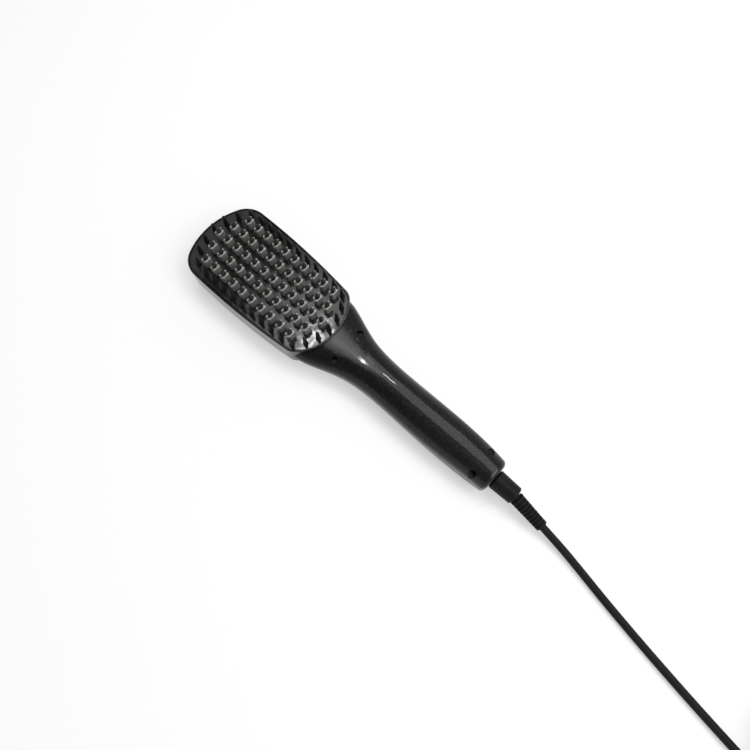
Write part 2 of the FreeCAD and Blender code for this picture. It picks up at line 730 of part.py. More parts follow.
def make_heater_leads():
    """One lead from the end of each heater, under the ledge and along the neck to the board."""
    diameter = 1.8
    heater_end = HEATER_LENGTH / 2
    leads = []
    for side in (1, -1):
        y = side * HEATER_SPACING / 2
        z = HEATER_BOTTOM + diameter / 2
        points = [
            Vector(heater_end, y, z),
            Vector(heater_end + 2.5 * diameter, y, z),
            Vector(RING.ends[1] - FRAME_INSET - diameter / 2, 0.9 * y, LEDGE_BOTTOM - diameter),
            Vector(HEAD_NEAR + 3, 0.6 * y, PARTING_Z + 1.0),
            Vector(NECK_WELL[0] + 10, 0.36 * y, PARTING_Z),
            Vector(BOARD_START - 1, 0.25 * y, BOARD_TOP + 0.6 * diameter),
            Vector(BOARD_START + 6, 0.24 * y, BOARD_TOP + diameter / 2),
        ]
        leads.append(tube("heater lead", points, diameter))
    return leads


def make_mains_leads():
    """One lead from the tail end of the board to each contact."""
    diameter = 1.8
    board_end = BOARD_START + BOARD_LENGTH
    high = BOARD_TOP + diameter / 2
    low = (CARRIER_BASE_Z + contact_top()) / 2
    leads = []
    for side in (1, -1):
        y = side * CARRIER_HALF / 2
        points = [
            Vector(board_end - 3.5, y, high),
            Vector(board_end + 3.2, y, high),
            Vector(CORE_START - 4.2, y, low),
            Vector(CORE_START, y, low),
        ]
        leads.append(tube("mains lead", points, diameter))
    return leads


def boot_root():
    return Vector(COLLAR_END - BOOT_ROOT_SETBACK, 0, PARTING_Z)


def boot_end():
    direction = Vector(BOOT_DIRECTION)
    return boot_root() + direction.normalize() * BOOT_LENGTH


def make_strain_relief_boot():
    """Ribbed tapered sleeve, turned about X and then tilted to hang with the cord."""
    profile = [(-BOOT_ROOT_LENGTH, 0), (-BOOT_ROOT_LENGTH, BOOT_ROOT_DIAMETER / 2)]
    profile.append((BOOT_NECK, BOOT_ROOT_DIAMETER / 2))
    ribbed = BOOT_LENGTH - BOOT_NECK
    pitch = ribbed / (BOOT_GROOVES + 1)
    profile.append((BOOT_NECK, BOOT_DIAMETER / 2))
    for number in range(1, BOOT_GROOVES + 1):
        middle = BOOT_NECK + number * pitch
        for x, depth in (
            (middle - BOOT_GROOVE_WIDTH / 2, 0),
            (middle - BOOT_GROOVE_WIDTH / 2, BOOT_GROOVE_DEPTH),
            (middle + BOOT_GROOVE_WIDTH / 2, BOOT_GROOVE_DEPTH),
            (middle + BOOT_GROOVE_WIDTH / 2, 0),
        ):
            share = (x - BOOT_NECK) / ribbed
            diameter = BOOT_DIAMETER + share * (BOOT_END_DIAMETER - BOOT_DIAMETER)
            profile.append((x, diameter / 2 - depth))
    profile += [(BOOT_LENGTH, BOOT_END_DIAMETER / 2), (BOOT_LENGTH, 0)]
    boot = turned(profile, 0)
    boot.Placement = FreeCAD.Placement(boot_root(), FreeCAD.Rotation(X_AXIS, BOOT_DIRECTION))
    return boot


def make_power_cord():
    direction = Vector(BOOT_DIRECTION)
    lead = boot_end() + direction.normalize() * CORD_LEAD
    end = COIL_START - X_AXIS * CORD_DIAMETER
    return tube("power cord", [boot_end(), lead, *CORD_ROUTE, end], CORD_DIAMETER)


# Wound coil of the lead


def coil_knots():
    """Quarter-turn points of the coil: it spirals in and out and climbs a layer at each reversal."""
    quarters = round(COIL_LAYER_TURNS * 4)
    swing = COIL_LAYER_TURNS * COIL_STEP
    outer = COIL_MEAN_RADIUS + swing / 2
    centre = Vector(COIL_START.x, COIL_START.y + outer, COIL_START.z)
    knots = []
    for quarter in range(COIL_LAYERS * quarters + 1):
        layer, step = divmod(quarter, quarters)
        share = step / quarters if layer % 2 == 0 else 1 - step / quarters
        radius = outer - share * swing
        rise = layer * COIL_STEP
        at_reversal = step == 0 and 0 < layer < COIL_LAYERS
        rise -= COIL_STEP / 2 if at_reversal else 0
        rise -= COIL_STEP if layer == COIL_LAYERS else 0
        angle = quarter * math.pi / 2 - math.pi / 2
        knots.append(centre + Vector(radius * math.cos(angle), radius * math.sin(angle), rise))
    return knots


def biarc(start, start_way, end, end_way):
    """Two tangent arcs from one point and direction to another."""
    chord = end - start
    ways = start_way + end_way
    spread = 2 * (1 - start_way.dot(end_way))
    slope = chord.dot(ways)
    reach = (math.sqrt(slope**2 + spread * chord.dot(chord)) - slope) / spread
    meeting = (start + end + (start_way - end_way) * reach) * 0.5
    arcs = []
    for a, b, corner in ((start, meeting, start + start_way * reach), (meeting, end, end - end_way * reach)):
        half_chord = (b - a).Length / 2
        cosine = half_chord / reach
        middle = (a + b) * 0.5
        middle += (corner - middle) * (cosine / (1 + cosine))
        arcs.append(Part.Arc(a, middle, b).toShape())
    return arcs


def least_self_gap(path, diameter):
    points = path.discretize(Distance=diameter)
    apart = round(4 * COIL_MEAN_RADIUS / diameter)
    least = min(
        (a - b).Length for i, a in enumerate(points) for b in points[i + apart :]
    )
    return least - diameter


def make_cord_coil():
    knots = coil_knots()
    ways = [X_AXIS]
    ways += [(after - before).normalize() for before, after in zip(knots, knots[2:])]
    ways.append(X_AXIS)
    edges = [Part.LineSegment(knots[0] - X_AXIS * CORD_DIAMETER, knots[0]).toShape()]
    for start, start_way, end, end_way in zip(knots, ways, knots[1:], ways[1:]):
        edges += biarc(start, start_way, end, end_way)
    edges.append(Part.LineSegment(knots[-1], coil_exit()).toShape())
    path = Part.Wire(edges)
    solid = swept(path, CORD_DIAMETER)
    expected = math.pi * CORD_DIAMETER**2 / 4 * path.Length
    print(f"coil: length {path.Length:.1f}, volume {solid.Volume / expected:.4f} of section by length")
    print(f"coil: least gap to itself {least_self_gap(path, CORD_DIAMETER):.2f}")
    return solid


def coil_exit():
    return coil_knots()[-1] + X_AXIS * CORD_DIAMETER


def make_cord_tail():
    return tube("cord tail", [coil_exit(), *TAIL_ROUTE], CORD_DIAMETER)


def make_cord_tie():
    """Flat strap round the bundle of turns, on the side away from the cord's ends."""
    knots = coil_knots()
    far_side = knots[2::4]
    reach = CORD_DIAMETER / 2 + TIE_GAP
    inner_radius = COIL_MEAN_RADIUS - COIL_LAYER_TURNS * COIL_STEP / 2 - CORD_DIAMETER / 2
    sag = TIE_WIDTH**2 / (8 * inner_radius)
    low_y = min(k.y for k in far_side) - reach - sag
    high_y = max(k.y for k in far_side) + reach
    low_z = min(k.z for k in far_side) - reach
    high_z = max(k.z for k in far_side) + reach
    middle = (Vector(0, low_y, low_z) + Vector(0, high_y, high_z)) * 0.5
    strap = []
    for thickness in (TIE_THICKNESS, 0):
        half = TIE_WIDTH / 2 + (WALL if thickness == 0 else 0)
        grown_y = high_y - low_y + 2 * thickness
        grown_z = high_z - low_z + 2 * thickness
        slab = box((-half, -grown_y / 2, -grown_z / 2), (half, grown_y / 2, grown_z / 2))
        along = [e for e in slab.Edges if abs(e.tangentAt(e.FirstParameter).x) > 0.5]
        strap.append(slab.makeFillet(CORD_DIAMETER / 4 + thickness, along))
    return moved(strap[0].cut(strap[1]), COIL_START.x, middle.y, middle.z)


# Plug


def along_plug(shape):
    """Turn a piece built along X from the origin onto the end of the cord."""
    shape.Placement = FreeCAD.Placement(
        TAIL_ROUTE[-1], FreeCAD.Rotation(X_AXIS, TAIL_ROUTE[-1] - TAIL_ROUTE[-2])
    )
    return shape


def plug_section(x, width, height):
    corner = PLUG_CORNER * height
    slab = rounded_slab(height, width, corner, 0, 1)
    wire = max((f for f in slab.Faces if abs(f.CenterOfMass.z) < 1e-6), key=lambda f: f.Area).OuterWire
    wire = wire.copy()
    wire.rotate(Vector(), Y_AXIS, 90)
    wire.translate(Vector(x, 0, 0))
    return wire


def make_plug_body():
    return along_plug(Part.makeLoft([plug_section(*s) for s in PLUG_SECTIONS], True, True))


def make_plug_pins():
    start = PLUG_SECTIONS[-1][0]
    pins = []
    for side in (1, -1):
        base = Vector(start, side * PIN_SPACING / 2, 0)
        shank = Part.makeCylinder(PIN_DIAMETER / 2, PIN_LENGTH - PIN_POINT, base, X_AXIS)
        point_base = base + X_AXIS * (PIN_LENGTH - PIN_POINT)
        point = Part.makeCone(PIN_DIAMETER / 2, PIN_DIAMETER / 2 - PIN_POINT, PIN_POINT, point_base, X_AXIS)
        pins.append(along_plug(shank.fuse(point)))
    return pins


# Board, display and buttons


def buttons():
    return {
        "power_button": (POWER_X, POWER_DIAMETER),
        "temp_up_button": (UP_X, TEMP_DIAMETER),
        "temp_down_button": (DOWN_X, TEMP_DIAMETER),
    }


def make_button(x, diameter):
    """Cap that stands out of the panel, with a flange inside that keeps it there."""
    face = PANEL_Z - BUTTON_RISE
    flange_low = PANEL_INSIDE + FLANGE_GAP
    cap = rod(x, 0, face, flange_low, diameter)
    cap = cap.makeChamfer(BUTTON_RISE / 3, edges_at_height(cap, face))
    return cap.fuse(rod(x, 0, flange_low, flange_low + FLANGE_THICKNESS, diameter + 2 * BUTTON_FLANGE))


def make_control_board():
    board = box(
        (BOARD_START, -BOARD_WIDTH / 2, BOARD_Z),
        (BOARD_START + BOARD_LENGTH, BOARD_WIDTH / 2, BOARD_TOP),
    )
    hole = SMALL_SCREW[0] + 2 * SCREW_FIT
    return cut_all(board, [rod(x, y, BOARD_Z - WALL, BOARD_TOP + WALL, hole) for x, y in board_posts()])


def make_board_screws():
    length = BOARD_TOP - PANEL_INSIDE - SCREW_FIT
    return [screw(x, y, BOARD_TOP, length, SMALL_SCREW, False) for x, y in board_posts()]


def make_tact_switches():
    switches = []
    for x, _ in buttons().values():
        half = SWITCH_SIZE / 2
        low = BOARD_Z - SWITCH_HEIGHT
        body = box((x - half, -half, low), (x + half, half, BOARD_Z))
        travel_end = PANEL_INSIDE + FLANGE_GAP + FLANGE_THICKNESS + BUTTON_TRAVEL
        plunger = rod(x, 0, travel_end + BUTTON_FIT, low, PLUNGER_DIAMETER)
        switches.append(body.fuse(plunger))
    return switches


def window_slab(margin, low, high):
    length = WINDOW_LENGTH + 2 * margin
    width = WINDOW_WIDTH + 2 * margin
    corner = WINDOW_LIP + margin
    return moved(rounded_slab(length, width, corner, low, high), WINDOW_X, 0)


def make_display_window():
    pane = window_slab(-BUTTON_FIT / 2, PANEL_Z, PANEL_INSIDE)
    return pane.fuse(window_slab(WINDOW_LIP, PANEL_INSIDE, PANEL_INSIDE + WINDOW_LIP_THICKNESS))


def make_display_module():
    low = PANEL_INSIDE + WINDOW_LIP_THICKNESS
    return window_slab(-DISPLAY_MARGIN, low, BOARD_Z)


def make_controller_chip():
    size, thickness = 9.0, 1.6
    x = WINDOW_X
    return box((x - size / 2, -size / 2, BOARD_TOP), (x + size / 2, size / 2, BOARD_TOP + thickness))


def make_filter_capacitor():
    diameter, height = 8.0, 9.0
    return rod(UP_X, 0, BOARD_TOP, BOARD_TOP + height, diameter)


def make_triac():
    """Tabbed power switch standing on the board."""
    thickness, width, body_height, tab_height, tab_thickness = 4.4, 10.0, 7.0, 10.0, 1.3
    x = POWER_X
    body = box((x, -width / 2, BOARD_TOP), (x + thickness, width / 2, BOARD_TOP + body_height))
    tab = box((x, -width / 2, BOARD_TOP), (x + tab_thickness, width / 2, BOARD_TOP + tab_height))
    hole = Part.makeCylinder(1.5, 4 * thickness, Vector(x - thickness, 0, BOARD_TOP + tab_height - 2), X_AXIS)
    return body.fuse(tab).cut(hole).removeSplitter()


# Swivel


def make_swivel_collar():
    """Visible collar, neck through the tail wall, retaining flange and contact core in one turned piece."""
    flange_start = FLANGE_END - FLANGE_WIDTH
    profile = [
        (CORE_START, 0),
        (CORE_START, CORE_DIAMETER / 2),
        (flange_start, CORE_DIAMETER / 2),
        (flange_start, FLANGE_DIAMETER / 2),
        (FLANGE_END, FLANGE_DIAMETER / 2),
        (FLANGE_END, NECK_DIAMETER / 2),
        (COLLAR_START, NECK_DIAMETER / 2),
        (COLLAR_START, COLLAR_DIAMETER / 2 - COLLAR_ROUND),
        (COLLAR_START + COLLAR_ROUND, COLLAR_DIAMETER / 2),
        (COLLAR_END - COLLAR_ROUND, COLLAR_END_DIAMETER / 2),
        (COLLAR_END, COLLAR_END_DIAMETER / 2 - COLLAR_ROUND),
        (COLLAR_END, SOCKET_DIAMETER / 2),
        (COLLAR_END - SOCKET_DEPTH, SOCKET_DIAMETER / 2),
        (COLLAR_END - SOCKET_DEPTH, 0),
    ]
    return turned(profile, PARTING_Z)


def slip_ring_starts():
    first = CORE_START + SLIP_RING_INSET
    return (first, first + SLIP_RING_PITCH)


def make_slip_rings():
    inner = CORE_DIAMETER / 2 + TIP_CLEARANCE
    rings = []
    for x in slip_ring_starts():
        end = x + SLIP_RING_WIDTH
        outer = SLIP_RING_DIAMETER / 2
        rings.append(turned([(x, inner), (x, outer), (end, outer), (end, inner)], PARTING_Z))
    return rings


def contact_top():
    return PARTING_Z - SLIP_RING_DIAMETER / 2 - RUNNING_FIT


def make_contact_carrier():
    top = contact_top() - CONTACT_THICKNESS
    end = CORE_START + CARRIER_LENGTH
    return box((CORE_START, -CARRIER_HALF, CARRIER_BASE_Z), (end, CARRIER_HALF, top))


def make_contact_springs():
    leaves = []
    for x in slip_ring_starts():
        start = x + (SLIP_RING_WIDTH - CONTACT_WIDTH) / 2
        low = contact_top() - CONTACT_THICKNESS
        leaves.append(box((start, -CARRIER_HALF, low), (start + CONTACT_WIDTH, CARRIER_HALF, contact_top())))
    return leaves


def save(name, shape):
    solid = Part.makeCompound(shape) if isinstance(shape, list) else shape
    solid = solid.copy()
    solid.translate(Vector(-MIDDLE_X, 0, 0))
    solid.exportStep(f"parts/{name}.step")


def main():
    os.makedirs("parts", exist_ok=True)
    form = housing_form()
    cavity = housing_cavity()
    save("front_shell", make_front_shell(form, cavity))
    save("back_shell", make_back_shell(form, cavity))
    save("housing_screws", make_housing_screws())
    save("heating_plate", make_heating_plate())
    tooth = make_tooth()
    tip = make_tip()
    tips = []
    for row in range(len(ROW_COUNTS)):
        places = tooth_places(row)
        save(f"tooth_row_{row + 1}", [moved(tooth, x, y) for x, y in places])
        tips += [moved(tip, x, y) for x, y in places]
    save("tooth_tips", tips)
    bristle = make_bristle()
    for name, points in bristle_groups().items():
        save(name, [moved(bristle, p.x, p.y) for p in points])
    save("bristle_frame", make_bristle_frame())
    save("plate_screws", make_plate_screws())
    save("ptc_heaters", make_ptc_heaters())
    save("mica_sheet", make_mica_sheet())
    save("heater_clamp", make_heater_clamp())
    save("clamp_screws", make_clamp_screws())
    save("heat_shield", make_heat_shield())
    save("shield_screws", make_shield_screws())
    save("thermistor", make_thermistor())
    save("thermal_fuse", make_thermal_fuse())
    save("heater_leads", make_heater_leads())
    save("control_board", make_control_board())
    save("board_screws", make_board_screws())
    save("tact_switches", make_tact_switches())
    save("display_window", make_display_window())
    save("display_module", make_display_module())
    save("controller_chip", make_controller_chip())
    save("filter_capacitor", make_filter_capacitor())
    save("triac", make_triac())
    for name, place in buttons().items():
        save(name, make_button(*place))
    save("swivel_collar", make_swivel_collar())
    save("slip_rings", make_slip_rings())
    save("contact_carrier", make_contact_carrier())
    save("contact_springs", make_contact_springs())
    save("mains_leads", make_mains_leads())
    save("strain_relief_boot", make_strain_relief_boot())
    save("power_cord", make_power_cord())
    save("cord_coil", make_cord_coil())
    save("cord_tail", make_cord_tail())
    save("cord_tie", make_cord_tie())
    save("plug_body", make_plug_body())
    save("plug_pins", make_plug_pins())


main()
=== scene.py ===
import math

import bmesh
import bpy
from mathutils import Matrix, Vector


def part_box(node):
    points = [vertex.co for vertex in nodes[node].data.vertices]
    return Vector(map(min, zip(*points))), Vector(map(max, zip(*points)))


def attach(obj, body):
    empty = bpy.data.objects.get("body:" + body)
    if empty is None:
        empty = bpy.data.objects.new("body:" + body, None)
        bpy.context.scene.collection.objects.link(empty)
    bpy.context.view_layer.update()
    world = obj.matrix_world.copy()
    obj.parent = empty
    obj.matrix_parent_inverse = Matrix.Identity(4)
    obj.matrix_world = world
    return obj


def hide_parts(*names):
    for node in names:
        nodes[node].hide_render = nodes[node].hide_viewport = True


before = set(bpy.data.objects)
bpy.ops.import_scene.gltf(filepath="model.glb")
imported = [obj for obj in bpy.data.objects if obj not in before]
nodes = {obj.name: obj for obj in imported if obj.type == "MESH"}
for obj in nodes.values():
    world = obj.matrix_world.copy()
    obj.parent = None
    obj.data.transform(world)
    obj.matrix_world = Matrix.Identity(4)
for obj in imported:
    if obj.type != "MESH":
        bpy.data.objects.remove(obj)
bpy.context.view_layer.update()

scene = bpy.context.scene
scene.view_settings.view_transform = "Standard"

# Camera: it looks down from above the handle, on the brush's -Y side
CAMERA_PLACE = Vector((0.09597, -0.08375, 0.3579))
CAMERA_BACK = Vector((0.2087, -0.2310, 0.9503)).normalized()
CAMERA_UP = Vector((-0.6413, 0.7012, 0.3113))
CAMERA_NEAR = 0.01
SENSOR_MM = 36.0
FOCAL_PIXELS = 552.75
PICTURE_PIXELS = 750.0

# Lead: its length and width, and the points of its route before and after the coil, in metres
CORD_DIAMETER = 0.005
CORD_OUT = (
    (0.159622, -0.001766, 0.008379),
    (0.175149, -0.002775, 0.004652),
    (0.19345, -0.0056, 0.0028),
    (0.21945, -0.0106, 0.0025),
    (0.25345, -0.0162, 0.0025),
    (0.29045, -0.0215, 0.0026),
    (0.32545, -0.0260, 0.0035),
    (0.35045, -0.0260, 0.0035),
)
CORD_BACK = (
    (0.36045, -0.0260, 0.0200),
    (0.37945, -0.0260, 0.0200),
    (0.40145, -0.0230, 0.0150),
    (0.42345, -0.0160, 0.0088),
    (0.44445, -0.0060, 0.0068),
    (0.46345, 0.0050, 0.0068),
)
COIL_START = Vector((0.35545, -0.0260, 0.0035))
COIL_LAYERS = 4
COIL_LAYER_TURNS = 2.25
COIL_CLIMB_TURNS = 0.5
COIL_STEP = 0.0055
COIL_MEAN_RADIUS = 0.026
COIL_POINTS_PER_TURN = 24

# Strap that ties the coil: it goes once round the bundle and on over its own start
STRAP_THICKNESS = 0.0007
STRAP_LAP = 1.15 * STRAP_THICKNESS
STRAP_EDGE = 0.2 * STRAP_THICKNESS
STRAP_CORNER = 0.0022
STRAP_CORNER_STEPS = 4
STRAP_HALF_COLUMNS = 2

# Places along the strap, as shares of half the bundle's width or height, and the widths of its tip
STRAP_START = 0.25
STRAP_STEP_UP = (-0.35, 0.1)
STRAP_END = (0.3, 0.05, -0.05)
STRAP_TIP_WIDTHS = (0.9, 0.6)

# Materials: a texture's scale counts its clouds or cells in a metre, and greys differ in their blue
NOISE_DETAIL = 3.0
NOISE_ROUGHNESS = 0.55
FLAKE_SCALE = 5200.0
WAVE_RADIANS_PER_METRE = 20.0
PARTING_HEIGHT = 0.0149
# Half width of the painted shade line at the parting between the shells
SEAM_SHADE_HALF_WIDTH = 0.00012
WARM = 0.95
COOL = 1.03
SMOKED = 1.2

# Floor: it is partly plain white where it is seen, and grows all white over the fade's distances
FLOOR_HALF = 40.0
FLOOR_HEIGHT = -0.0002
FLOOR_WHITE = 0.45
FLOOR_FADE = (0.5, 1.2)

# Lamps: each faces a point of the brush's middle line, and those made for its gloss hang level
AIM_HEIGHT = 0.02
GLOW_HEIGHT = 1.18
PANEL_MIDDLE = (0.5, 0.5, 0.0)
PANEL_REACH = 0.5

# Room: it is brightest one way, and its white walls end between two heights of a direction
ROOM_BRIGHT_WAY = (0.6, 0.15, -0.79)
ROOM_LEVELS = (0.1, 1.35)
WALL_FADE = (0.33, 0.5)


def make_camera():
    data = bpy.data.cameras.new("camera")
    data.sensor_width = SENSOR_MM
    data.lens = FOCAL_PIXELS / PICTURE_PIXELS * SENSOR_MM
    data.clip_start = CAMERA_NEAR
    camera = bpy.data.objects.new("camera", data)
    right = CAMERA_UP.cross(CAMERA_BACK).normalized()
    up = CAMERA_BACK.cross(right)
    turn = Matrix((right, up, CAMERA_BACK)).transposed()
    camera.matrix_world = Matrix.Translation(CAMERA_PLACE) @ turn.to_4x4()
    scene.collection.objects.link(camera)
    scene.camera = camera


# Soft pieces


def layers_climbed(turn):
    """Layers that the coil has climbed at a turn: each climb is spread evenly about a reversal."""
    reversals = (number * COIL_LAYER_TURNS for number in range(1, COIL_LAYERS))
    climbs = ((turn - reversal) / COIL_CLIMB_TURNS + 0.5 for reversal in reversals)
    return sum(min(max(climb, 0.0), 1.0) for climb in climbs)


def coil_points():
    """Points of the wound lead: it spirals in and out, and climbs a layer at each reversal."""
    swing = COIL_LAYER_TURNS * COIL_STEP
    outer = COIL_MEAN_RADIUS + swing / 2
    centre = COIL_START + Vector((0, outer, 0))
    turns = COIL_LAYERS * COIL_LAYER_TURNS
    points = []
    for step in range(round(turns * COIL_POINTS_PER_TURN) + 1):
        turn = step / COIL_POINTS_PER_TURN
        layer = min(int(turn / COIL_LAYER_TURNS), COIL_LAYERS - 1)
        share = turn / COIL_LAYER_TURNS - layer
        inward = share if layer % 2 == 0 else 1 - share
        radius = outer - inward * swing
        angle = 2 * math.pi * turn - math.pi / 2
        along = Vector((math.cos(angle), math.sin(angle), 0)) * radius
        points.append(centre + along + Vector((0, 0, layers_climbed(turn) * COIL_STEP)))
    return points


def strap_path(half_y, half_z):
    """Points along the strap in the YZ plane, each with its share of the full width."""
    corners = []
    for number, (side_y, side_z) in enumerate(((1, 1), (1, -1), (-1, -1), (-1, 1))):
        centre = Vector((0, side_y * (half_y - STRAP_CORNER), side_z * (half_z - STRAP_CORNER)))
        for step in range(STRAP_CORNER_STEPS + 1):
            angle = math.pi / 2 * (1 - number - step / STRAP_CORNER_STEPS)
            corners.append((centre, Vector((0, math.cos(angle), math.sin(angle)))))
    step_low, step_high = STRAP_STEP_UP
    points = [Vector((0, STRAP_START * half_y, half_z))]
    points += [centre + way * STRAP_CORNER for centre, way in corners]
    points.append(Vector((0, step_low * half_y, half_z)))
    points.append(Vector((0, step_high * half_y, half_z + STRAP_LAP)))
    over = corners[: STRAP_CORNER_STEPS + 1]
    points += [centre + way * (STRAP_CORNER + STRAP_LAP) for centre, way in over]
    points += [Vector((0, half_y + STRAP_LAP, share * half_z)) for share in STRAP_END]
    widths = [1.0] * (len(points) - len(STRAP_TIP_WIDTHS)) + list(STRAP_TIP_WIDTHS)
    return list(zip(points, widths))


def make_tie():
    """Soft strap in place of the plain ring round the coil."""
    low, high = (Vector(corner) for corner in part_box("cord_tie"))
    middle = (low + high) / 2
    half = (high - low) / 2
    inset = STRAP_THICKNESS / 2
    columns = range(-STRAP_HALF_COLUMNS, STRAP_HALF_COLUMNS + 1)
    build = bmesh.new()
    rows = []
    for point, width in strap_path(half.y - inset, half.z - inset):
        sides = [half.x * width * column / STRAP_HALF_COLUMNS for column in columns]
        rows.append([build.verts.new(middle + point + Vector((side, 0, 0))) for side in sides])
    for row, after in zip(rows, rows[1:]):
        for a, b, c, d in zip(row, row[1:], after[1:], after):
            build.faces.new((a, b, c, d)).smooth = True
    mesh = bpy.data.meshes.new("tie_strap")
    build.to_mesh(mesh)
    build.free()
    tie = bpy.data.objects.new("tie_strap", mesh)
    scene.collection.objects.link(tie)
    body = tie.modifiers.new("body", "SOLIDIFY")
    body.thickness = STRAP_THICKNESS
    body.offset = 0.0
    edge = tie.modifiers.new("edge", "BEVEL")
    edge.width = STRAP_EDGE
    edge.segments = 2
    smooth = tie.modifiers.new("smooth", "SUBSURF")
    smooth.levels = smooth.render_levels = 1
    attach(tie, "brush")
    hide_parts("cord_tie")
    return tie


def make_cord():
    """One smooth lead from the boot through the coil to the plug; its points carry its real radius."""
    route = [*CORD_OUT, *coil_points(), *CORD_BACK]
    curve = bpy.data.curves.new("cord", "CURVE")
    curve.dimensions = "3D"
    curve.bevel_depth = 1.0
    curve.bevel_resolution = 5
    curve.use_fill_caps = True
    spline = curve.splines.new("NURBS")
    spline.points.add(len(route) - 1)
    for point, place in zip(spline.points, route):
        point.co = (*place, 1.0)
        point.radius = CORD_DIAMETER / 2
    spline.order_u = 3
    spline.use_endpoint_u = True
    spline.resolution_u = 6
    cord = bpy.data.objects.new("cord", curve)
    scene.collection.objects.link(cord)
    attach(cord, "brush")
    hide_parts("power_cord", "cord_coil", "cord_tail")
    return cord


# Materials


def map_range(tree, level, source, target):
    """The level carried from one range to another, and held at its ends."""
    node = tree.nodes.new("ShaderNodeMapRange")
    tree.links.new(level, node.inputs["Value"])
    for name, value in zip(("From Min", "From Max", "To Min", "To Max"), (*source, *target)):
        node.inputs[name].default_value = value
    return node.outputs["Result"]


def product(tree, first, second):
    node = tree.nodes.new("ShaderNodeMath")
    node.operation = "MULTIPLY"
    tree.links.new(first, node.inputs[0])
    tree.links.new(second, node.inputs[1])
    return node.outputs["Value"]


class Finish:
    """A material with one shader, set by its sockets' names, and short ways to drive it by textures."""

    def __init__(self, name, **values):
        self.material = bpy.data.materials.new(name)
        self.material.use_nodes = True
        self.tree = self.material.node_tree
        self.tree.nodes.clear()
        self.output = self.tree.nodes.new("ShaderNodeOutputMaterial")
        self.shader = self.tree.nodes.new("ShaderNodeBsdfPrincipled")
        self.join(self.shader.outputs["BSDF"], self.output.inputs["Surface"])
        for key, value in values.items():
            self.shader.inputs[key.replace("_", " ")].default_value = value
        self.place = self.tree.nodes.new("ShaderNodeTexCoord").outputs["Object"]
        self.normal = None

    def join(self, source, target):
        self.tree.links.new(source, target)

    def noise(self, scale, detail=NOISE_DETAIL):
        """A cloudy level between nought and one."""
        node = self.tree.nodes.new("ShaderNodeTexNoise")
        self.join(self.place, node.inputs["Vector"])
        node.inputs["Scale"].default_value = scale
        node.inputs["Detail"].default_value = detail
        node.inputs["Roughness"].default_value = NOISE_ROUGHNESS
        return node.outputs["Fac"]

    def cells(self, scale):
        """A random level for each small cell, for flakes and speckles."""
        node = self.tree.nodes.new("ShaderNodeTexVoronoi")
        self.join(self.place, node.inputs["Vector"])
        node.inputs["Scale"].default_value = scale
        split = self.tree.nodes.new("ShaderNodeSeparateColor")
        self.join(node.outputs["Color"], split.inputs["Color"])
        return split.outputs["Red"]

    def ribs(self, pitch):
        """Even waves that follow one another along X."""
        node = self.tree.nodes.new("ShaderNodeTexWave")
        self.join(self.place, node.inputs["Vector"])
        node.inputs["Scale"].default_value = 2 * math.pi / (WAVE_RADIANS_PER_METRE * pitch)
        return node.outputs["Fac"]

    def height_line(self, height, half_width):
        """One in a thin band at a height above the floor, nought away from it."""
        split = self.tree.nodes.new("ShaderNodeSeparateXYZ")
        self.join(self.place, split.inputs["Vector"])
        compare = self.tree.nodes.new("ShaderNodeMath")
        compare.operation = "COMPARE"
        self.join(split.outputs["Z"], compare.inputs[0])
        compare.inputs[1].default_value = height
        compare.inputs[2].default_value = half_width
        return compare.outputs["Value"]

    def colours(self, level, *stops):
        """Colour ramp on a level; each stop is a place, from nought to one, and a colour."""
        ramp = self.tree.nodes.new("ShaderNodeValToRGB")
        self.join(level, ramp.inputs["Fac"])
        elements = ramp.color_ramp.elements
        for place, _ in stops[1:-1]:
            elements.new(place)
        for element, (_, colour) in zip(elements, stops):
            element.color = (*colour, 1.0)
        return ramp.outputs["Color"]

    def mix(self, level, first, second):
        """Colour that goes from the first to the second with the level."""
        node = self.tree.nodes.new("ShaderNodeMix")
        node.data_type = "RGBA"
        self.join(level, node.inputs["Factor"])
        for socket, value in ((node.inputs["A"], first), (node.inputs["B"], second)):
            if isinstance(value, tuple):
                socket.default_value = (*value, 1.0)
            else:
                self.join(value, socket)
        return node.outputs["Result"]

    def colour(self, source):
        self.join(source, self.shader.inputs["Base Color"])

    def roughness(self, level, low, high):
        self.join(map_range(self.tree, level, (0.0, 1.0), (low, high)), self.shader.inputs["Roughness"])

    def bump(self, level, distance):
        """Raise the surface with the level, on top of the bumps that it has."""
        node = self.tree.nodes.new("ShaderNodeBump")
        node.inputs["Distance"].default_value = distance
        self.join(level, node.inputs["Height"])
        if self.normal is not None:
            self.join(self.normal, node.inputs["Normal"])
        self.normal = node.outputs["Normal"]
        self.join(self.normal, self.shader.inputs["Normal"])


def grey(level, blue=1.0):
    """Grey that is warmer with less blue and cooler with more."""
    return (level, level, level * blue)


def housing_finish():
    """Glossy black plastic with a fine metallic flake under a clear coat, and a line of painted shade at the
    parting, for the shadow in the gap between the two shells.
    """
    finish = Finish("housing_flake", Metallic=1.0, Coat_Weight=1.0, Coat_Roughness=0.06, Coat_IOR=1.3)
    stops = (0.0, grey(0.005)), (0.7, grey(0.008, blue=1.05)), (1.0, grey(0.05, blue=1.15))
    flakes = finish.colours(finish.cells(FLAKE_SCALE), *stops)
    # Painted shade: a nearly black band at the parting height stands for the shadow in the gap between the
    # shells.
    seam_shade = finish.height_line(PARTING_HEIGHT, SEAM_SHADE_HALF_WIDTH)
    finish.colour(finish.mix(seam_shade, flakes, grey(0.002)))
    finish.roughness(finish.noise(scale=900.0), low=0.42, high=0.52)
    return finish.material


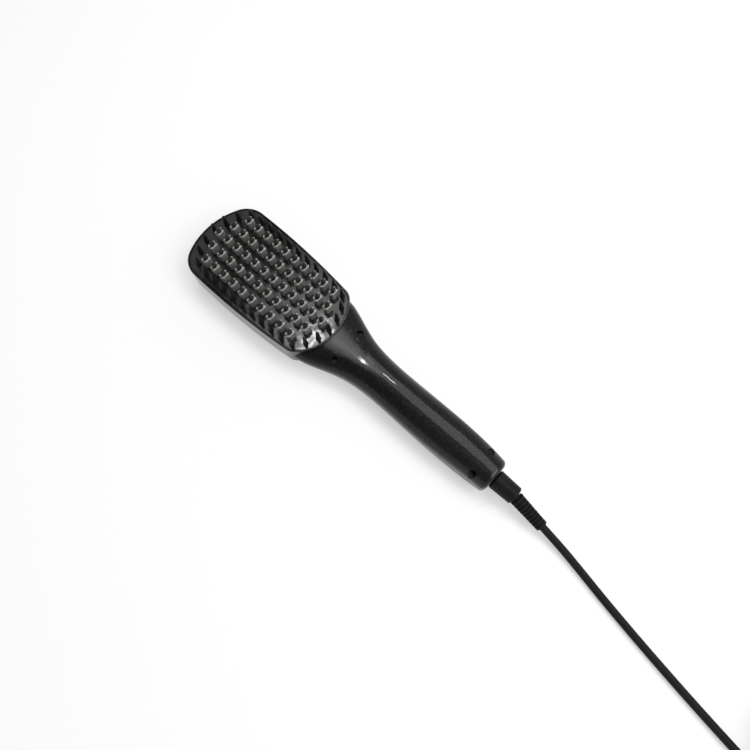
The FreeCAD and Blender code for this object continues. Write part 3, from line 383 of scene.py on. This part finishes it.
def plate_coat_and_shade_finish():
    """Glossy ceramic coat on the heating plate, with soft waves that break up what it reflects; its greys
    are partly its own dark colour and partly painted shade for the channels between the teeth.
    """
    finish = Finish("plate_coat_and_shade", Specular_IOR_Level=0.25)
    # Painted shade: these greys are darker than the coat's own, so the plate between the teeth looks shaded.
    finish.colour(finish.mix(finish.noise(scale=700.0), grey(0.009, WARM), grey(0.014, WARM)))
    finish.roughness(finish.noise(scale=300.0), low=0.07, high=0.12)
    finish.bump(finish.noise(scale=170.0, detail=0.0), distance=0.0001)
    return finish.material


def tooth_finish():
    """Grey, partly metallic coat on the teeth, with a fine speckle."""
    finish = Finish("tooth_coat", Metallic=0.35)
    stops = (0.0, grey(0.22, WARM)), (0.6, grey(0.27, WARM)), (1.0, grey(0.36, WARM))
    finish.colour(finish.colours(finish.cells(FLAKE_SCALE), *stops))
    finish.roughness(finish.noise(scale=1500.0), low=0.3, high=0.38)
    finish.bump(finish.noise(scale=2600.0), distance=0.00002)
    return finish.material


def moulded_finish(name, dark, bright, rough, grain=1800.0, bump=0.00003, shine=0.5):
    """Moulded plastic or rubber: two close greys, uneven gloss and a fine grain."""
    finish = Finish(name, Specular_IOR_Level=shine)
    finish.colour(finish.mix(finish.noise(scale=160.0), grey(dark, COOL), grey(bright, COOL)))
    finish.roughness(finish.noise(scale=700.0), low=rough - 0.06, high=rough + 0.06)
    finish.bump(finish.noise(scale=grain), distance=bump)
    return finish.material


def metal_finish(name, dark, bright, rough):
    """Plain metal, a little uneven in its colour, gloss and face."""
    finish = Finish(name, Metallic=1.0)
    finish.colour(finish.mix(finish.noise(scale=380.0), dark, bright))
    finish.roughness(finish.noise(scale=2200.0), low=rough - 0.05, high=rough + 0.08)
    finish.bump(finish.noise(scale=3000.0), distance=0.000015)
    return finish.material


def coloured_finish(name, dark, bright, rough):
    """Coloured resin, sleeve or sheet, a little uneven in its colour, gloss and face."""
    finish = Finish(name)
    finish.colour(finish.mix(finish.noise(scale=240.0), dark, bright))
    finish.roughness(finish.noise(scale=800.0), low=rough - 0.05, high=rough + 0.05)
    finish.bump(finish.noise(scale=2000.0), distance=0.00002)
    return finish.material


def strap_finish():
    """Soft ribbed strap with a faint sheen."""
    finish = Finish("tie_rubber", Sheen_Weight=0.2)
    finish.colour(finish.mix(finish.noise(scale=900.0), grey(0.02), grey(0.035)))
    finish.roughness(finish.noise(scale=700.0), low=0.55, high=0.7)
    finish.bump(finish.ribs(pitch=0.0009), distance=0.00012)
    finish.bump(finish.noise(scale=2600.0), distance=0.00004)
    return finish.material


def window_finish():
    """Dark, glossy window, as it looks over a display that is off."""
    finish = Finish("smoked_window", Coat_Weight=0.6, Coat_Roughness=0.03)
    finish.colour(finish.mix(finish.noise(scale=120.0), grey(0.006, SMOKED), grey(0.012, SMOKED)))
    finish.roughness(finish.noise(scale=500.0), low=0.06, high=0.12)
    return finish.material


def cord_finish():
    return moulded_finish("cord_rubber", 0.008, 0.013, rough=0.55, grain=1000.0, bump=0.00004, shine=0.1)


def dress(material, *names):
    for name in names:
        mesh = nodes[name].data
        mesh.materials.clear()
        mesh.materials.append(material)


def dress_outside():
    dress(housing_finish(), "front_shell", "back_shell")
    dress(plate_coat_and_shade_finish(), "heating_plate")
    dress(tooth_finish(), *(name for name in nodes if name.startswith("tooth_row_")))
    tips = moulded_finish("tip_plastic", 0.008, 0.013, rough=0.42, shine=0.2)
    dress(tips, "tooth_tips", "bristles_far", "bristles_right", "bristles_near", "bristles_left")
    dress(moulded_finish("frame_plastic", 0.012, 0.02, rough=0.5), "bristle_frame", "heat_shield")
    dress(moulded_finish("collar_plastic", 0.005, 0.009, rough=0.5, shine=0.12), "swivel_collar")
    buttons = moulded_finish("button_plastic", 0.045, 0.06, rough=0.4)
    dress(buttons, "power_button", "temp_up_button", "temp_down_button")
    dress(window_finish(), "display_window")
    boot = moulded_finish("boot_rubber", 0.008, 0.013, rough=0.6, grain=900.0, bump=0.00005, shine=0.06)
    dress(boot, "strain_relief_boot")
    plug = moulded_finish("plug_plastic", 0.012, 0.02, rough=0.42, grain=1000.0, bump=0.00005)
    dress(plug, "plug_body")
    dress(metal_finish("nickel", (0.55, 0.53, 0.5), (0.72, 0.7, 0.66), rough=0.2), "plug_pins")


def dress_inside():
    dress(metal_finish("aluminium", grey(0.5), grey(0.65), rough=0.35), "ptc_heaters")
    steel = metal_finish("zinc_steel", grey(0.38), grey(0.55), rough=0.32)
    dress(steel, "heater_clamp", "thermal_fuse")
    dress(steel, "clamp_screws", "plate_screws", "shield_screws", "board_screws")
    # Painted shade: the housing screws are made nearly black, far darker than plain steel, so the wells they
    # sit in look shaded.
    dress(metal_finish("black_steel", grey(0.008), grey(0.02), rough=0.45), "housing_screws")
    brass = metal_finish("brass", (0.55, 0.38, 0.14), (0.75, 0.55, 0.25), rough=0.28)
    dress(brass, "slip_rings", "contact_springs")
    dress(coloured_finish("mica", (0.5, 0.45, 0.36), (0.62, 0.57, 0.48), rough=0.4), "mica_sheet")
    dress(coloured_finish("sensor_resin", (0.4, 0.2, 0.05), (0.55, 0.3, 0.1), rough=0.35), "thermistor")
    wire = coloured_finish("silicone_wire", (0.62, 0.6, 0.56), (0.75, 0.73, 0.7), rough=0.55)
    dress(wire, "heater_leads", "mains_leads")
    board = coloured_finish("circuit_board", (0.02, 0.14, 0.06), (0.04, 0.22, 0.1), rough=0.35)
    dress(board, "control_board")
    sleeve = coloured_finish("capacitor_sleeve", (0.02, 0.04, 0.12), (0.04, 0.07, 0.2), rough=0.3)
    dress(sleeve, "filter_capacitor")
    cases = moulded_finish("component_case", 0.012, 0.02, rough=0.5)
    dress(cases, "controller_chip", "triac", "tact_switches", "display_module", "contact_carrier")


# Studio


def seen_or_reflected(tree):
    """One for what is seen straight, in a reflection or through glass, nought for the light that is cast."""
    path = tree.nodes.new("ShaderNodeLightPath")
    level = path.outputs["Is Camera Ray"]
    for name in ("Is Glossy Ray", "Is Transmission Ray"):
        either = tree.nodes.new("ShaderNodeMath")
        either.operation = "MAXIMUM"
        tree.links.new(level, either.inputs[0])
        tree.links.new(path.outputs[name], either.inputs[1])
        level = either.outputs["Value"]
    return level


def make_floor():
    """Paper floor, mixed with plain white for what is seen or reflected, and all white far away."""
    mesh = bpy.data.meshes.new("floor")
    sides = ((-1, -1), (1, -1), (1, 1), (-1, 1))
    corners = [(x * FLOOR_HALF, y * FLOOR_HALF, FLOOR_HEIGHT) for x, y in sides]
    mesh.from_pydata(corners, [], [(0, 1, 2, 3)])
    floor = bpy.data.objects.new("floor", mesh)
    scene.collection.objects.link(floor)
    finish = Finish("floor_paper", Specular_IOR_Level=0.0)
    finish.colour(finish.mix(finish.noise(scale=30.0), grey(0.955), grey(0.965)))
    finish.roughness(finish.noise(scale=60.0), low=0.8, high=0.9)
    tree = finish.tree
    white = tree.nodes.new("ShaderNodeEmission")
    distance = tree.nodes.new("ShaderNodeVectorMath")
    distance.operation = "LENGTH"
    finish.join(finish.place, distance.inputs[0])
    whiteness = map_range(tree, distance.outputs["Value"], FLOOR_FADE, (FLOOR_WHITE, 1.0))
    blend = tree.nodes.new("ShaderNodeMixShader")
    finish.join(product(tree, seen_or_reflected(tree), whiteness), blend.inputs["Fac"])
    finish.join(finish.shader.outputs["BSDF"], blend.inputs[1])
    finish.join(white.outputs["Emission"], blend.inputs[2])
    finish.join(blend.outputs["Shader"], finish.output.inputs["Surface"])
    mesh.materials.append(finish.material)


def soften(data):
    """Let a lamp's panel fade evenly from its middle to its edge, with as much light as an even panel."""
    data.use_nodes = True
    tree = data.node_tree
    place = tree.nodes.new("ShaderNodeNewGeometry").outputs["Parametric"]
    from_middle = tree.nodes.new("ShaderNodeVectorMath")
    from_middle.operation = "DISTANCE"
    from_middle.inputs[1].default_value = PANEL_MIDDLE
    tree.links.new(place, from_middle.inputs[0])
    peak = 3 / (math.pi * PANEL_REACH**2)
    level = map_range(tree, from_middle.outputs["Value"], (0.0, PANEL_REACH), (peak, 0.0))
    tree.links.new(level, tree.nodes["Emission"].inputs["Strength"])


def make_lamp(name, place, aim_x, size, power, soft=False):
    """Flat lamp that faces the brush's middle line, its first side along X as far as that allows."""
    data = bpy.data.lights.new(name, "AREA")
    data.shape = "RECTANGLE"
    data.size, data.size_y = size
    data.energy = power
    if soft:
        soften(data)
    lamp = bpy.data.objects.new(name, data)
    back = (Vector(place) - Vector((aim_x, 0, AIM_HEIGHT))).normalized()
    across = (Vector((1, 0, 0)) - back * back.x).normalized()
    turn = Matrix((across, back.cross(across), back)).transposed()
    lamp.matrix_world = Matrix.Translation(place) @ turn.to_4x4()
    scene.collection.objects.link(lamp)


def make_lamps():
    make_lamp("overhead", (0.09, 0.48, 1.2), aim_x=0.09, size=(1.1, 0.55), power=4.8)
    make_lamp("end", (0.75, 0.2, 1.05), aim_x=-0.05, size=(0.7, 0.7), power=7.2)
    make_lamp("neck_glow", (-0.5, 0.25, GLOW_HEIGHT), aim_x=-0.01, size=(0.42, 0.8), power=1.75, soft=True)
    make_lamp("far_glow", (-0.97, 0.3, GLOW_HEIGHT), aim_x=-0.12, size=(0.22, 0.35), power=0.3)
    make_lamp("plate_strip", (-0.435, 0.235, GLOW_HEIGHT), aim_x=-0.05, size=(0.016, 0.1), power=0.6)
    make_lamp("ridge_strip", (-0.275, 0.405, GLOW_HEIGHT), aim_x=0.0, size=(0.08, 0.03), power=0.5)


def make_world():
    """Room light, brightest low down beyond the handle, and white walls for what is seen or reflected."""
    world = bpy.data.worlds.new("studio")
    scene.world = world
    world.use_nodes = True
    tree = world.node_tree
    tree.nodes.clear()
    output = tree.nodes.new("ShaderNodeOutputWorld")
    room = tree.nodes.new("ShaderNodeBackground")
    walls = tree.nodes.new("ShaderNodeBackground")
    walls.inputs["Color"].default_value = (1.0, 1.0, 1.0, 1.0)
    place = tree.nodes.new("ShaderNodeTexCoord").outputs["Generated"]
    towards = tree.nodes.new("ShaderNodeVectorMath")
    towards.operation = "DOT_PRODUCT"
    towards.inputs[1].default_value = ROOM_BRIGHT_WAY
    height = tree.nodes.new("ShaderNodeSeparateXYZ")
    blend = tree.nodes.new("ShaderNodeMixShader")
    tree.links.new(place, towards.inputs[0])
    tree.links.new(place, height.inputs["Vector"])
    room_level = map_range(tree, towards.outputs["Value"], (-1.0, 1.0), ROOM_LEVELS)
    tree.links.new(room_level, room.inputs["Color"])
    low_down = map_range(tree, height.outputs["Z"], WALL_FADE, (1.0, 0.0))
    tree.links.new(product(tree, seen_or_reflected(tree), low_down), blend.inputs["Fac"])
    tree.links.new(room.outputs["Background"], blend.inputs[1])
    tree.links.new(walls.outputs["Background"], blend.inputs[2])
    tree.links.new(blend.outputs["Shader"], output.inputs["Surface"])


make_camera()
tie = make_tie()
cord = make_cord()
dress_outside()
dress_inside()
tie.data.materials.append(strap_finish())
cord.data.materials.append(cord_finish())
make_floor()
make_lamps()
make_world()
